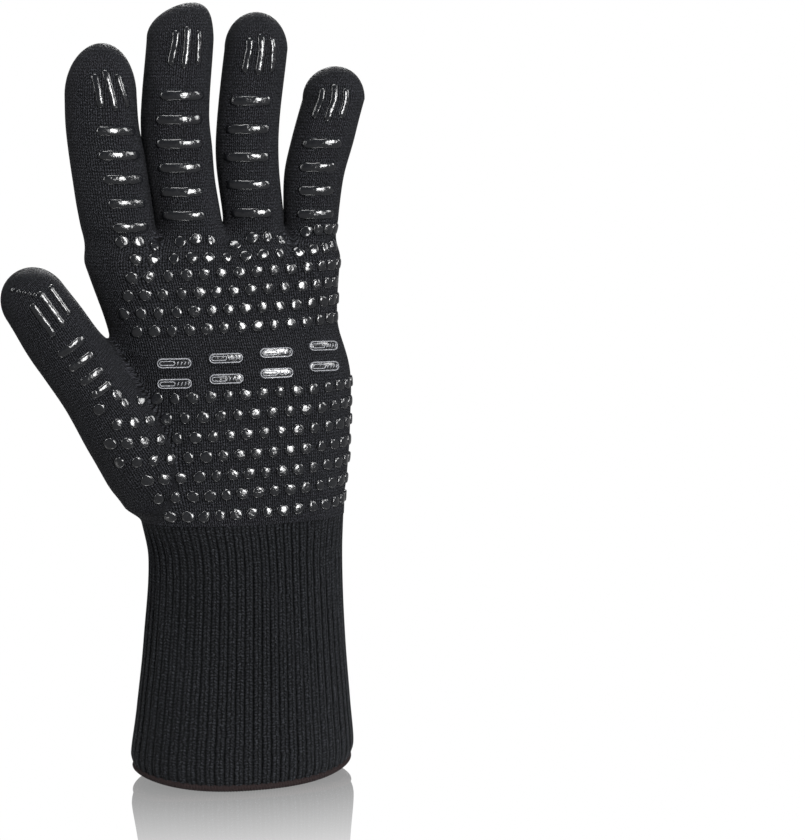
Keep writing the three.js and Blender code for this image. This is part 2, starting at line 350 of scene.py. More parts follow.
class Nodes:
    """A material's node tree, with short calls for its common nodes."""

    def __init__(self, name):
        self.material = bpy.data.materials.new(name)
        self.material.use_nodes = True
        self.tree = self.material.node_tree
        self.shader = self.tree.nodes["Principled BSDF"]

    def make(self, kind, **settings):
        node = self.tree.nodes.new(kind)
        for key, value in settings.items():
            setattr(node, key, value)
        return node

    def put(self, socket, value):
        if isinstance(value, bpy.types.NodeSocket):
            self.tree.links.new(value, socket)
        else:
            socket.default_value = value

    def math(self, operation, a, b=0.0, clamp=False):
        node = self.make("ShaderNodeMath", operation=operation, use_clamp=clamp)
        self.put(node.inputs[0], a)
        self.put(node.inputs[1], b)
        return node.outputs[0]

    def noise(self, vector, scale, detail=3.0, roughness=0.55):
        node = self.make("ShaderNodeTexNoise")
        self.put(node.inputs["Vector"], vector)
        self.put(node.inputs["Scale"], scale)
        self.put(node.inputs["Detail"], detail)
        self.put(node.inputs["Roughness"], roughness)
        return node.outputs["Fac"]

    def mix(self, factor, a, b):
        node = self.make("ShaderNodeMix", data_type="RGBA")
        self.put(node.inputs["Factor"], factor)
        self.put(node.inputs[6], a)
        self.put(node.inputs[7], b)
        return node.outputs[2]

    def spread(self, value, low, high):
        node = self.make("ShaderNodeMapRange")
        self.put(node.inputs["Value"], value)
        self.put(node.inputs["To Min"], low)
        self.put(node.inputs["To Max"], high)
        return node.outputs["Result"]

    def bump(self, height, distance, strength):
        node = self.make("ShaderNodeBump")
        self.put(node.inputs["Height"], height)
        self.put(node.inputs["Distance"], distance)
        self.put(node.inputs["Strength"], strength)
        return node.outputs["Normal"]

    def set(self, **values):
        for key, value in values.items():
            self.put(self.shader.inputs[key.replace("_", " ")], value)


def stitches(n, slant):
    """Columns of V stitches over the Knit coordinates: their height, and the vector of the yarn."""
    uv = n.make("ShaderNodeUVMap", uv_map="Knit").outputs[0]
    parts = n.make("ShaderNodeSeparateXYZ")
    n.put(parts.inputs[0], uv)
    wobble = n.math("MULTIPLY", n.math("SUBTRACT", n.noise(uv, 0.35, 2.0), 0.5), 0.35)
    u = n.math("ADD", parts.outputs[0], wobble)
    v = n.math("ADD", parts.outputs[1], wobble)
    leg = n.math("ABSOLUTE", n.math("SUBTRACT", n.math("FRACT", u), 0.5))
    row = n.math("FRACT", n.math("ADD", v, n.math("MULTIPLY", leg, slant)))
    round_leg = n.math("POWER", n.math("SINE", n.math("MULTIPLY", leg, 2 * math.pi)), 0.6)
    round_row = n.math("POWER", n.math("SINE", n.math("MULTIPLY", row, math.pi)), 0.5)
    height = n.math("MULTIPLY", round_leg, n.math("ADD", n.math("MULTIPLY", round_row, 0.6), 0.4))
    return uv, height


def knit_material(name, colour, pale, slant=1.1, groove_shade=0.0):
    """Knit between two colours, with painted light on the stitches' raised tops, painted shade in their
    hollows and sparse painted glints. The last argument paints shade in the valleys between ribs.
    """
    n = Nodes(name)
    uv, height = stitches(n, slant)
    stretch = n.make("ShaderNodeMapping")
    n.put(stretch.inputs["Vector"], uv)
    n.put(stretch.inputs["Scale"], (1.0, 0.7, 1.0))
    fibre = n.noise(stretch.outputs[0], 7.0, 4.0, 0.75)
    patch = n.noise(stretch.outputs[0], 0.06, 2.0)
    worn = n.math("MULTIPLY", n.math("ADD", fibre, patch), 0.5)
    # painted light and shade: the raised tops of the stitches are paler and the hollows between them
    # darker, by random amounts
    lit = n.math("MULTIPLY", n.math("POWER", height, 3.0), worn, clamp=True)
    # painted glints: sparse pale specks laid into the colour on the stitches' tops
    glint_fleck = n.spread(n.noise(stretch.outputs[0], 2.6, 2.0, 0.8), -12.0, 10.5)
    lit = n.math("ADD", lit, n.math("MULTIPLY", n.math("MAXIMUM", glint_fleck, 0.0), height), clamp=True)
    # painted shade: the valleys between the ribs are darkened in the colour
    if groove_shade:
        parts = n.make("ShaderNodeSeparateXYZ")
        n.put(parts.inputs[0], uv)
        ridge = n.math("SINE", n.math("MULTIPLY", n.math("FRACT", parts.outputs[0]), math.pi))
        lit = n.math("MULTIPLY", lit, n.math("ADD", n.math("MULTIPLY", ridge, groove_shade), 1 - groove_shade))
    hills = n.math("ADD", height, n.math("MULTIPLY", fibre, 0.45))
    n.set(Base_Color=n.mix(lit, colour, pale), Roughness=0.7, Normal=n.bump(hills, 0.0009, 1.0))
    n.set(Sheen_Weight=0.02, Sheen_Roughness=0.4, Sheen_Tint=(0.5, 0.52, 0.58, 1), IOR=1.4)
    n.put(n.shader.inputs["Specular IOR Level"], 0.1)
    return n.material


def silicone_material(name, dark, pale, rough):
    n = Nodes(name)
    place = n.make("ShaderNodeTexCoord").outputs["Object"]
    film = n.noise(place, 900.0, 3.0)
    wave = n.noise(place, 260.0, 2.0)
    n.set(Base_Color=n.mix(film, dark, pale), Roughness=n.spread(film, rough, 2 * rough), IOR=1.38)
    n.set(Normal=n.bump(n.math("ADD", wave, n.math("MULTIPLY", film, 0.2)), 0.0009, 0.6))
    n.set(Coat_Weight=0.35, Coat_Roughness=0.08)
    return n.material


def binding_material():
    n = Nodes("Binding")
    uv = n.make("ShaderNodeUVMap", uv_map="Knit").outputs[0]
    fibre = n.noise(uv, 3.0, 4.0, 0.7)
    tone = n.mix(fibre, (0.0015, 0.0008, 0.0008, 1), (0.011, 0.0045, 0.0045, 1))
    n.set(Base_Color=tone, Roughness=0.9, IOR=1.3)
    n.set(Normal=n.bump(fibre, 0.0004, 0.6))
    return n.material


def lining_material():
    n = Nodes("Lining")
    uv, height = stitches(n, 0.8)
    nap = n.noise(uv, 2.5, 6.0, 0.75)
    tone = n.mix(nap, (0.008, 0.008, 0.0095, 1), (0.03, 0.031, 0.036, 1))
    n.set(Base_Color=tone, Roughness=0.95, Sheen_Weight=0.1, Sheen_Roughness=0.6)
    hills = n.math("ADD", n.math("MULTIPLY", height, 0.5), nap)
    n.set(Normal=n.bump(hills, 0.0006, 0.7))
    return n.material


KNIT = knit_material("Aramid knit", (0.0002, 0.0002, 0.0004, 1), (0.027, 0.028, 0.033, 1))
RIB = knit_material(
    "Aramid rib", (0.0005, 0.0007, 0.0009, 1), (0.021, 0.0225, 0.026, 1), slant=1.4, groove_shade=0.75
)
SILICONE = silicone_material("Silicone", (0.002, 0.0022, 0.0028, 1), (0.008, 0.0085, 0.01, 1), 0.13)
# painted highlight: the rims are coloured pale grey so that their raised edges read as lit
RIM_PAINTED_HIGHLIGHT = silicone_material("Silicone rim painted highlight", (0.09, 0.092, 0.1, 1), (0.22, 0.225, 0.24, 1), 0.2)
BINDING = binding_material()
LINING = lining_material()


def dress(obj, material):
    obj.data.materials.append(material)
    return obj


# ---- where each part of the hand bends ----
THUMB_KNUCKLE_BEND = 11  # the thumb's knuckle bends from this far below its pivot
THUMB_BEND = 9  # and the rest of its zones reach this far from theirs
WEB_SPARE = 0.5  # the fingers' zones start this much above the web
ZONE_SPARE = 0.8  # and stop this much short of each other


def pivot(name):
    return np.array(JOINTS[name]["pos_m"], float) / MM


def lengths_of(name):
    """The bend zones of a digit: (parent body, child body, start, end), each a point in millimetres."""
    if name == "thumb":
        knuckle, tip = pivot("thumb_knuckle"), pivot("thumb_tip_joint")
        below, reach = THUMB_UP * THUMB_KNUCKLE_BEND, THUMB_UP * THUMB_BEND
        return [
            ("palm", "thumb_lower", knuckle - below, knuckle + reach),
            ("thumb_lower", "thumb_tip", tip - reach, tip + reach),
        ]
    hinges = [pivot(f"{name}_{part}") for part in ("knuckle", "middle_joint", "tip_joint")]
    heights = [h[2] for h in hinges]
    cut = [(heights[0] + heights[1]) / 2, (heights[1] + heights[2]) / 2]
    spans = [
        (WEB + WEB_SPARE, 2 * heights[0] - WEB - WEB_SPARE),
        (cut[0] + ZONE_SPARE, cut[1] - ZONE_SPARE),
        (cut[1] + ZONE_SPARE, 2 * heights[2] - cut[1] - ZONE_SPARE),
    ]
    chain = ["palm", f"{name}_lower", f"{name}_middle", f"{name}_tip"]
    up = np.array([0, 0, 1.0])
    return [(chain[i], chain[i + 1], up * low, up * high) for i, (low, high) in enumerate(spans)]


ZONES = {name: lengths_of(name) for name in FINGER_NAMES + ["thumb"]}


def region_of(points, kept=FINGER_NAMES):
    """The region each point belongs to: "palm", or a digit's name and the number of its bend."""
    z = points[:, 2]
    region = np.full(len(points), "palm", dtype=object)
    fingers = np.stack(finger_fields(points, kept), 1)
    nearest = fingers.argmin(1)
    for k, name in enumerate(FINGER_NAMES):
        zones = ZONES[name]
        for i in range(3):
            low = WEB if i == 0 else (zones[i - 1][3][2] + zones[i][2][2]) / 2
            region[(nearest == k) & (z > low)] = f"{name}_{i}"
    s = thumb_coordinates(points)[2]
    thumb = thumb_field(points)
    mine = (thumb < palm_field(points)) & (thumb < fingers.min(1)) & (s < THUMB_ROOT)
    region[mine] = "thumb_0"
    halfway = (pivot("thumb_knuckle") + pivot("thumb_tip_joint")) / 2
    region[mine & (s < np.linalg.norm(halfway - THUMB_TIP))] = "thumb_1"
    return region


REGION_NODES = {"palm": ["palm_knit"]}
REGION_LININGS = {"palm": ["palm_lining"]}
for digit, zones in ZONES.items():
    for i, (_, child, _, _) in enumerate(zones):
        REGION_NODES[f"{digit}_{i}"] = [f"{child}_knit", f"{child}_crease"]
        REGION_LININGS[f"{digit}_{i}"] = [f"{child}_lining"]


def attach(obj, region):
    """A palm piece rides on the palm's body; every other piece has its placement baked in and stays
    where it is built.
    """
    if region == "palm":
        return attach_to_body(obj, "palm")
    if region == "cuff":
        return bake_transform(obj)
    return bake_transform(obj)


# ---- the knit's own coordinates over the hand ----
def quarter_length(theta, a, b):
    """Rough length round a section from its front centre to the angle theta, over the quarter's."""
    full = a + 0.55 * b
    return (a * np.sin(theta) * 0.55 + full * theta / (math.pi / 2) * 0.45) / (a * 0.55 + full * 0.45)


PALM_QUARTER = 58.0
FINGER_ROUND = 13.6
THUMB_ROUND = 15.0
FINGER_ROOT = 226.0  # the fingers' columns of stitches grow out of the palm's here
THUMB_FRONT = -64  # the palm's coordinate at the middle of the thumb's front
THUMB_COURSES = 236  # the thumb's rows of stitches are counted down from this height


def knit_coordinates(p, kept):
    """The column and the row of stitches at each point."""
    x, y, z = p.T
    c, a, b = along(HAND, z)
    theta = np.arctan2((x - c) / a, np.abs(y) / b)
    u_palm = quarter_length(theta, a, b) * PALM_QUARTER
    fields = np.stack(finger_fields(p, kept), 1)
    weight = 1 / (np.maximum(fields, -3) + 3.5) ** 4
    u_finger = np.zeros(len(p))
    rc, ra, rb = along(HAND, FINGER_ROOT)
    for k, name in enumerate(FINGER_NAMES):
        table, start = FINGER_CURVES[name][:2]
        fc, fa = along(table, np.minimum(z, start))
        around = np.arctan2((x - fc) / fa, np.abs(y) / (fa * FINGER_DEPTH) + 1e-6)
        root = along(table, FINGER_ROOT)[0]
        at_root = quarter_length(np.arctan2((root - rc) / ra, 0.75), ra, rb) * PALM_QUARTER
        u_finger += weight[:, k] * (at_root + FINGER_ROUND * around)
    u_finger /= weight.sum(1)
    u = u_palm + (u_finger - u_palm) * step(212, 240, z)
    v = z.copy()
    tx, ty, s = thumb_coordinates(p)
    ta, tb = along(THUMB, np.clip(s, THUMB_START, THUMB_END))
    beside = thumb_field(p)
    u_thumb = THUMB_FRONT + THUMB_ROUND * np.arctan2(tx / ta, np.abs(ty) / tb + 1e-6)
    u_thumb += np.sign(tx) * np.maximum(beside, 0)
    v_thumb = THUMB_COURSES - s
    blend = step(-0.5, 0.5, palm_field(p) - beside) * step(130, 108, s) * step(236, 226, z)
    u += (u_thumb - u) * blend
    v += (v_thumb - v) * blend
    return np.stack([u / WALE, v / COURSE], 1)


# ---- the hand ----
LOW = [-92.0, -34.0, CUFF_TOP - 8]
HIGH = [86.0, 34.0, 336.0]


def hand_pieces(points, quads, kind, material, nodes, cut, kept=FINGER_NAMES):
    """Cuts a surface into the regions in nodes, dresses each, and returns the quads used."""
    centres = points[quads].mean(1)
    quads = quads[centres[:, 2] > cut]
    centres = points[quads].mean(1)
    regions = region_of(centres, kept)
    coordinates = knit_coordinates(points, kept)
    for region, replaced in nodes.items():
        mine = quads[regions == region]
        used, index = np.unique(mine, return_inverse=True)
        faces = index.reshape(mine.shape)
        obj = mesh_object(f"{kind}_{region}", points[used], faces, coordinates[used][faces.ravel()])
        dress(obj, material)
        attach(obj, region)
        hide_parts(*replaced)
    return quads[np.isin(regions, list(nodes))]


# Two fingers side by side touch, so their knit is made in two goes
SHELLS = (("palm", "thumb", "index", "ring"), ("middle", "little"))


def hand_shell():
    """The knit of the hand. Returns its points and quads."""
    all_points, all_quads = np.empty((0, 3)), []
    for kept in SHELLS:
        field = partial(hand_field, kept=kept)
        points, quads = surface_of(field, LOW, HIGH, FINE)
        quads = facing_out(points, quads, field)
        normals = gradient(field, points)
        normals /= np.linalg.norm(normals, axis=1)[:, None]
        points = points + normals * relief(points)[:, None]
        nodes = {region: n for region, n in REGION_NODES.items() if region.split("_")[0] in kept}
        used = hand_pieces(points, quads, "knit", KNIT, nodes, CUFF_TOP, kept)
        all_quads.append(used + len(all_points))
        all_points = np.concatenate([all_points, points])
    return all_points, np.concatenate(all_quads)


skin, skin_quads = hand_shell()
hand_tree = BVHTree.FromPolygons((skin * MM).tolist(), skin_quads.tolist())


def lining_field(p):
    return hand_field(p) + LINING_DEPTH


inner, inner_quads = surface_of(lining_field, LOW, HIGH, COARSE, project=2)
inner_quads = facing_out(inner, inner_quads, lining_field)[:, ::-1]
hand_pieces(inner, inner_quads, "lining", LINING, REGION_LININGS, CUFF_TOP - 4)


# ---- the cuff ----
RIBS = 62
HEM_LIFT = 3.8  # the hem rises this much at its two sides
RIB_STEPS = 8


def cuff_section(z, turn, depth=0.0):
    """The cuff's outline at a height, depth millimetres further in."""
    c, a, b = (float(v) for v in along(HAND, z))
    n = float(squareness(z))
    cs, sn = np.cos(turn), np.sin(turn)
    r = (np.abs(cs) ** n + np.abs(sn) ** n) ** (-1 / n)
    return c + (a - depth) * r * cs, (b - depth) * r * sn


def even_turns(count):
    """Angles that share the cuff's outline into equal lengths."""
    fine = np.linspace(0, 2 * math.pi, 4001)
    x, y = cuff_section(60.0, fine)
    length = np.concatenate([[0], np.cumsum(np.hypot(np.diff(x), np.diff(y)))])
    return np.interp(np.linspace(0, length[-1], count + 1)[:-1], length, fine)


def outwards(x, y):
    """The directions out of a closed outline."""
    out = np.stack([np.gradient(y), -np.gradient(x)], 1)
    return out / np.linalg.norm(out, axis=1)[:, None]


def corners(u0, u1, v0, v1):
    """The knit coordinates of a grid's quads, from the columns' u and the rows' v on either side."""
    corner = np.empty((len(v0), len(u0), 4, 2))
    corner[..., 0, 0], corner[..., 3, 0] = u0, u0
    corner[..., 1, 0], corner[..., 2, 0] = u1, u1
    corner[..., 0, 1], corner[..., 1, 1] = v0[:, None], v0[:, None]
    corner[..., 2, 1], corner[..., 3, 1] = v1[:, None], v1[:, None]
    return corner.reshape(-1, 4, 2)


def cuff_tube(name, columns, heights, depth, ridge, wales, material, inward=False):
    turns = even_turns(columns)
    share = np.arange(columns) / columns
    points = []
    for z in heights:
        lift = HEM_LIFT * np.abs(np.cos(turns)) ** 3 * step(20, 0, z)
        x, y = cuff_section(z, turns, depth)
        out = outwards(x, y)
        h = ridge(share, z)
        points.append(np.stack([x + out[:, 0] * h, y + out[:, 1] * h, z + lift], 1))
    rows = len(heights)
    grid = np.arange(rows * columns).reshape(rows, columns)
    after = np.roll(grid, -1, axis=1)
    faces = np.stack([grid[:-1], after[:-1], after[1:], grid[1:]], -1).reshape(-1, 4)
    v = np.asarray(heights) / COURSE
    corner = corners(share * wales, (np.arange(columns) + 1) / columns * wales, v[:-1], v[1:])
    if inward:
        faces, corner = faces[:, ::-1], corner[:, ::-1]
    obj = mesh_object(name, np.concatenate(points), faces, corner)
    dress(obj, material)
    return attach(obj, "cuff")


def rib(share, z):
    """How far the ribs stand out of the cuff at a share of its outline and a height."""
    sway = 0.06 * np.sin(z / 17 + 40 * share) + 0.02 * np.sin(z / 5.3 + 90 * share)
    wave = np.abs(np.sin(math.pi * (share * RIBS + sway)))
    size = 0.88 + 0.12 * np.sin(share * 151 + 3 * np.sin(share * 37))
    fade = step(CUFF_TOP + 1, CUFF_TOP - 9, z) * 0.85 + 0.15
    slack = 0.3 * np.sin(6 * math.pi * share + z / 24) * np.sin(z / 31 + 2)
    slack = slack * step(0, 25, z) * step(CUFF_TOP, CUFF_TOP - 18, z)
    return (wave**0.7 - 0.75) * size * fade - 0.25 + slack


cuff_heights = np.linspace(1.0, CUFF_TOP + 1.2, 118)
cuff = cuff_tube("knit_cuff", RIBS * RIB_STEPS, cuff_heights, 0.0, rib, RIBS, RIB)
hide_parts("cuff_knit", "wrist_crease_front", "wrist_crease_back")


def nap(share, z):
    """The lining's fine unevenness."""
    return 0.12 * np.sin(share * 700) * np.sin(z * 1.1)


LINING_WALES = 180
lining_heights = np.linspace(0.8, CUFF_TOP, 50)
cuff_lining = cuff_tube(
    "lining_cuff",
    LINING_WALES,
    lining_heights,
    LINING_DEPTH,
    nap,
    LINING_WALES,
    LINING,
    inward=True,
)
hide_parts("cuff_lining")


# ---- the bound hem ----
def hem():
    """A bead of slanted overlock threads round the cuff's lower edge."""
    columns = 1500
    threads = 190
    turns = even_turns(columns)
    share = np.arange(columns) / columns
    profile = np.linspace(0, 2 * math.pi, 15)[:-1]
    x, y = cuff_section(1.5, turns, 1.1)
    out = outwards(x, y)
    lift = HEM_LIFT * np.abs(np.cos(turns)) ** 3
    points = []
    for angle in profile:
        wave = np.abs(np.sin(math.pi * (share * threads + 0.5 * angle / math.pi)))
        r = 1.0 + 0.2 * (wave**0.6 - 0.6)
        across = 1.75 * r * math.cos(angle)
        above = 1.5 * r * math.sin(angle) + 1.62
        points.append(np.stack([x + out[:, 0] * across, y + out[:, 1] * across, above + lift], 1))
    rows = len(profile)
    grid = np.arange(rows * columns).reshape(rows, columns)
    after, up = np.roll(grid, -1, axis=1), np.roll(grid, -1, axis=0)
    faces = np.stack([grid, after, np.roll(after, -1, axis=0), up], -1).reshape(-1, 4)
    u0, u1 = share * threads, (np.arange(columns) + 1) / columns * threads
    v0, v1 = np.arange(rows) / rows * 4, (np.arange(rows) + 1) / rows * 4
    obj = mesh_object("hem_binding", np.concatenate(points), faces, corners(u0, u1, v0, v1))
    dress(obj, BINDING)
    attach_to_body(obj, "cuff")
    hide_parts("cuff_hem")


hem()


# ---- the silicone print ----
class Print:
    """Collects printed marks, region by region, into one mesh each."""

    def __init__(self):
        self.parts = {}

    def add(self, region, points, faces):
        held, made = self.parts.setdefault(region, ([], []))
        start = sum(len(p) for p in held)
        held.append(points)
        made.extend([[i + start for i in f] for f in faces])

    def build(self, prefix, material=SILICONE):
        for region, (held, made) in self.parts.items():
            obj = mesh_object(f"{prefix}_{region}", np.concatenate(held), made)
            dress(obj, material)
            attach(obj, region)


IN_FRONT = -60.0  # a depth in front of the whole hand


def frame_at(x, z):
    """The surface's point and normal that faces the palm side at x and z."""
    hit, normal, _, _ = hand_tree.ray_cast(Vector((x, IN_FRONT, z)) * MM, Vector((0, 1, 0)))
    return (None, None) if hit is None else (np.array(hit) / MM, np.array(normal))


def on_surface(points, normal):
    """Points dropped against the normal on to the hand, and the normals there."""
    found, normals = [], []
    for p in points:
        hit, n, _, _ = hand_tree.ray_cast(Vector(p + normal * 6) * MM, Vector(-normal), 0.016)
        found.append(p if hit is None else np.array(hit) / MM)
        normals.append(normal if hit is None else np.array(n))
    return np.array(found), np.array(normals)


# A dot's rings from its foot up: share of its radius, and share of its height
RINGS = [(1.0, -0.25), (0.98, 0.25), (0.91, 0.58), (0.8, 0.8), (0.62, 0.93), (0.32, 0.99)]
ACROSS = np.array([1.0, 0, 0])


DOT_SIDES = 16
DOT_WOBBLE = 0.1


def dot(centre, normal, size, height, seed):
    """A raised blob on the surface, as points and faces."""
    side = np.cross(normal, ACROSS)
    side /= np.linalg.norm(side)
    way = np.cross(side, normal)
    turn = np.linspace(0, 2 * math.pi, DOT_SIDES, endpoint=False)
    uneven = 1 + DOT_WOBBLE * (np.sin(2 * turn + seed) + 0.6 * np.sin(3 * turn + 2.1 * seed)) / 1.6
    round_way = np.outer(np.cos(turn) * uneven, way) + np.outer(np.sin(turn) * uneven, side)
    foot = on_surface(centre + size / 2 * round_way, normal)[0]
    lean = 0.12 * size * (math.sin(seed * 2.7) * way + math.cos(seed * 1.9) * side)
    points = [
        foot + (centre + lean * rise - foot) * (1 - share) + normal * rise * height
        for share, rise in RINGS
    ]
    points.append((centre + lean + normal * height)[None])
    faces, sides = [], DOT_SIDES
    for k in range(len(RINGS) - 1):
        for i in range(sides):
            j = (i + 1) % sides
            faces.append([k * sides + i, k * sides + j, (k + 1) * sides + j, (k + 1) * sides + i])
    last = (len(RINGS) - 1) * sides
    faces.extend([[last + i, last + (i + 1) % sides, last + sides] for i in range(sides)])
    return np.concatenate(points), faces


# A stroke's section: share of its width across, and share of its height
SECTION = [
    (-0.5, -0.3),
    (-0.46, 0.35),
    (-0.36, 0.72),
    (-0.2, 0.94),
    (0.0, 1.0),
    (0.2, 0.94),
    (0.36, 0.72),
    (0.46, 0.35),
    (0.5, -0.3),
]


def stroke(path, normals, width, height, closed=False, wobble=0.0, seed=0.0):
    """A raised line with round ends along points on the surface, as points and faces."""
    ahead = np.roll(path, -1, axis=0) - np.roll(path, 1, axis=0)
    round_end = np.ones(len(path))
    if not closed:
        ahead[0], ahead[-1] = path[1] - path[0], path[-1] - path[-2]
        arc = np.concatenate([[0], np.cumsum(np.linalg.norm(np.diff(path, axis=0), axis=1))])
        from_end = np.minimum(arc, arc[-1] - arc) / (width / 2)
        round_end = np.sqrt(np.clip(1 - (1 - np.clip(from_end, 0, 1)) ** 2, 0.02, 1))
        round_end *= 1 + wobble * np.sin(arc * 1.9 + seed) * np.sin(arc * 0.7 + 2 * seed)
    side = np.cross(ahead, normals)
    side /= np.linalg.norm(side, axis=1)[:, None]
    rows = []
    for across, rise in SECTION:
        up = rise * (height * round_end if rise > 0 else np.ones(len(path)))
        rows.append(path + side * (across * width * round_end)[:, None] + normals * up[:, None])
    points = np.stack(rows, 1).reshape(-1, 3)
    n, m = len(path), len(SECTION)
    faces = []
    for i in range(n if closed else n - 1):
        j = (i + 1) % n
        faces.extend([[i * m + k, j * m + k, j * m + k + 1, i * m + k + 1] for k in range(m - 1)])
    if not closed:
        faces.append(list(range(m)))
        faces.append([(n - 1) * m + k for k in reversed(range(m))])
    return points, faces


def put_stroke(target, centre, normal, way, path, width, height, **more):
    """A stroke along a path of (along, across) offsets from centre."""
    side = np.cross(normal, way)
    side /= np.linalg.norm(side)
    along_way = np.cross(side, normal)
    flat = np.array([centre + along_way * p + side * q for p, q in path])
    ground, normals = on_surface(flat, normal)
    region = region_of(centre[None])[0]
    target.add(region, *stroke(ground, normals, width, height, **more))


def straight(length, count=17):
    """Offsets along a bar, closer together near its ends."""
    return [(length / 2 * math.sin(math.pi / 2 * t), 0.0) for t in np.linspace(-1, 1, count)]


DOT = 5.2
DOT_PITCH = 7.1
ROW_SLOPE = 0.035  # the rows of dots rise this much to the right
DOTS_LEFT, DOTS_RIGHT = -0.6, 0.98  # shares of the palm's quarter that the rows span
# Heights of the rows of dots above and below the palm's bars
UPPER_ROWS = [196.6 + 7.5 * i for i in range(6)]
LOWER_ROWS = [118.6 + 8.3 * i for i in range(7)]


def put_dot(centre, normal, seed, size=DOT, height=0.95):
    region = region_of(centre[None])[0]
    size *= 1 + 0.07 * math.sin(seed)
    marks.add(region, *dot(centre, normal, size, height, seed))


def palm_point(u, z):
    """The point of the palm side at the distance u round from its middle, and the normal there."""
    c, a, b = (float(v) for v in along(HAND, z))
    theta = u / PALM_QUARTER * math.pi / 2
    for _ in range(6):
        theta -= (float(quarter_length(theta, a, b)) * PALM_QUARTER - u) / 45
    n = HAND_SQUARENESS
    cs, sn = math.sin(theta), math.cos(theta)
    r = (abs(cs) ** n + abs(sn) ** n) ** (-1 / n)
    guess = Vector((c + a * r * cs, -b * r * sn - 3, z)) * MM
    hit, normal, _, _ = hand_tree.find_nearest(guess)
    return np.array(hit) / MM, np.array(normal)


def palm_dots():
    for row, z in enumerate(LOWER_ROWS + UPPER_ROWS):
        stagger = 0.5 if row % 2 else 0.0
        for k in range(-9, 10):
            u = (k + stagger) * DOT_PITCH
            if DOTS_LEFT * PALM_QUARTER < u < DOTS_RIGHT * PALM_QUARTER:
                centre, normal = palm_point(u, z + ROW_SLOPE * u)
                put_dot(centre, normal, row * 12.9898 + k * 4.1414)


def mound_dots():
    """The rows go on to the left, over the thumb's mound and beside the index finger's root."""
    for row, z in enumerate(LOWER_ROWS + UPPER_ROWS):
        stagger = 0.5 if row % 2 else 0.0
        first = (math.ceil(DOTS_LEFT * PALM_QUARTER / DOT_PITCH - stagger) + stagger) * DOT_PITCH
        x = palm_point(first, z + ROW_SLOPE * first)[0][0] - DOT_PITCH
        edge = -36 + 0.62 * max(150 - z, 0) if z < 180 else -29
        drop = 0.0
        while x > edge:
            drop += ROW_SLOPE * DOT_PITCH
            centre, normal = frame_at(x, z + ROW_SLOPE * first - drop)
            if centre is not None and normal[1] < -0.3:
                put_dot(centre, normal, row * 7.7 + x, height=0.8)
            x -= DOT_PITCH


# Crosswise bars up each finger: count, first height, pitch, length, and how far right of the finger's
# centre line the first and the last bar lie
FINGER_BARS = {
    "index": (5, 238.5, 9.9, 17.0, 4.0, 4.4),
    "middle": (6, 242.8, 9.9, 18.5, -3.4, 1.2),
    "ring": (5, 243.4, 11.6, 18.0, -2.4, -1.6),
    "little": (4, 242.2, 9.9, 16.0, 0.0, -2.6),
}
BAR_WIDTH = 4.2
BAR_HEIGHT = 0.75
# Three lengthwise strips on each fingertip: lowest and highest point, the middle one's offset, and
# how far right of their tops their feet lie
TIP_STRIPS = {
    "index": (286.0, 303.5, 2.2, 4.2),
    "middle": (303.0, 321.0, 0.9, -0.8),
    "ring": (300.0, 318.0, 0.0, 0.0),
    "little": (281.0, 297.0, -2.6, -1.0),
}
STRIP_PITCH = 5.9
STRIP_WIDTH = 3.0
STRIP_HEIGHT = 0.7


def centre_line(name, z):
    table, start = FINGER_CURVES[name][:2]
    return float(along(table, min(z, start))[0])


def finger_marks():
    for name, (count, first, pitch, length, offset, last_offset) in FINGER_BARS.items():
        for i in range(count):
            z = first + i * pitch
            x = centre_line(name, z) + offset + (last_offset - offset) * i / (count - 1)
            centre, normal = frame_at(x, z)
            size = length * (1 + 0.06 * math.sin(5.1 * i + len(name)))
            more = {"wobble": 0.1, "seed": 2.3 * i + len(name)}
            put_stroke(marks, centre, normal, ACROSS, straight(size), BAR_WIDTH, BAR_HEIGHT, **more)
    for name, (low, high, offset, slant) in TIP_STRIPS.items():
        for k in (-1, 0, 1):
            path, normals = [], []
            for z in np.linspace(low + 1.2 * abs(k), high - 1.8 * abs(k), 15):
                rise = (z - low) / (high - low)
                x = centre_line(name, z) + offset + slant * (0.5 - rise)
                x += k * STRIP_PITCH * (1 - 0.2 * rise) + 0.1 * math.sin(z / 2.7 + k)
                centre, normal = frame_at(x, z)
                path.append(centre)
                normals.append(normal)
            region = region_of(path[7][None])[0]
            more = {"wobble": 0.12, "seed": 1.7 * k + len(name)}
            path, normals = np.array(path), np.array(normals)
            marks.add(region, *stroke(path, normals, STRIP_WIDTH, STRIP_HEIGHT, **more))


def thumb_point(across, s):
    """The thumb's palm side at an offset across it and a distance from its tip."""
    facing = -THUMB_BACK * 0.93 + THUMB_SIDE * 0.37
    facing /= np.linalg.norm(facing)
    over = np.cross(THUMB_UP, facing)
    over *= np.sign(over @ THUMB_SIDE)
    start = THUMB_TIP - THUMB_UP * s + over * across + facing * 40
    hit, normal, _, _ = hand_tree.ray_cast(Vector(start) * MM, Vector(-facing))
    return (None, None) if hit is None else (np.array(hit) / MM, np.array(normal))


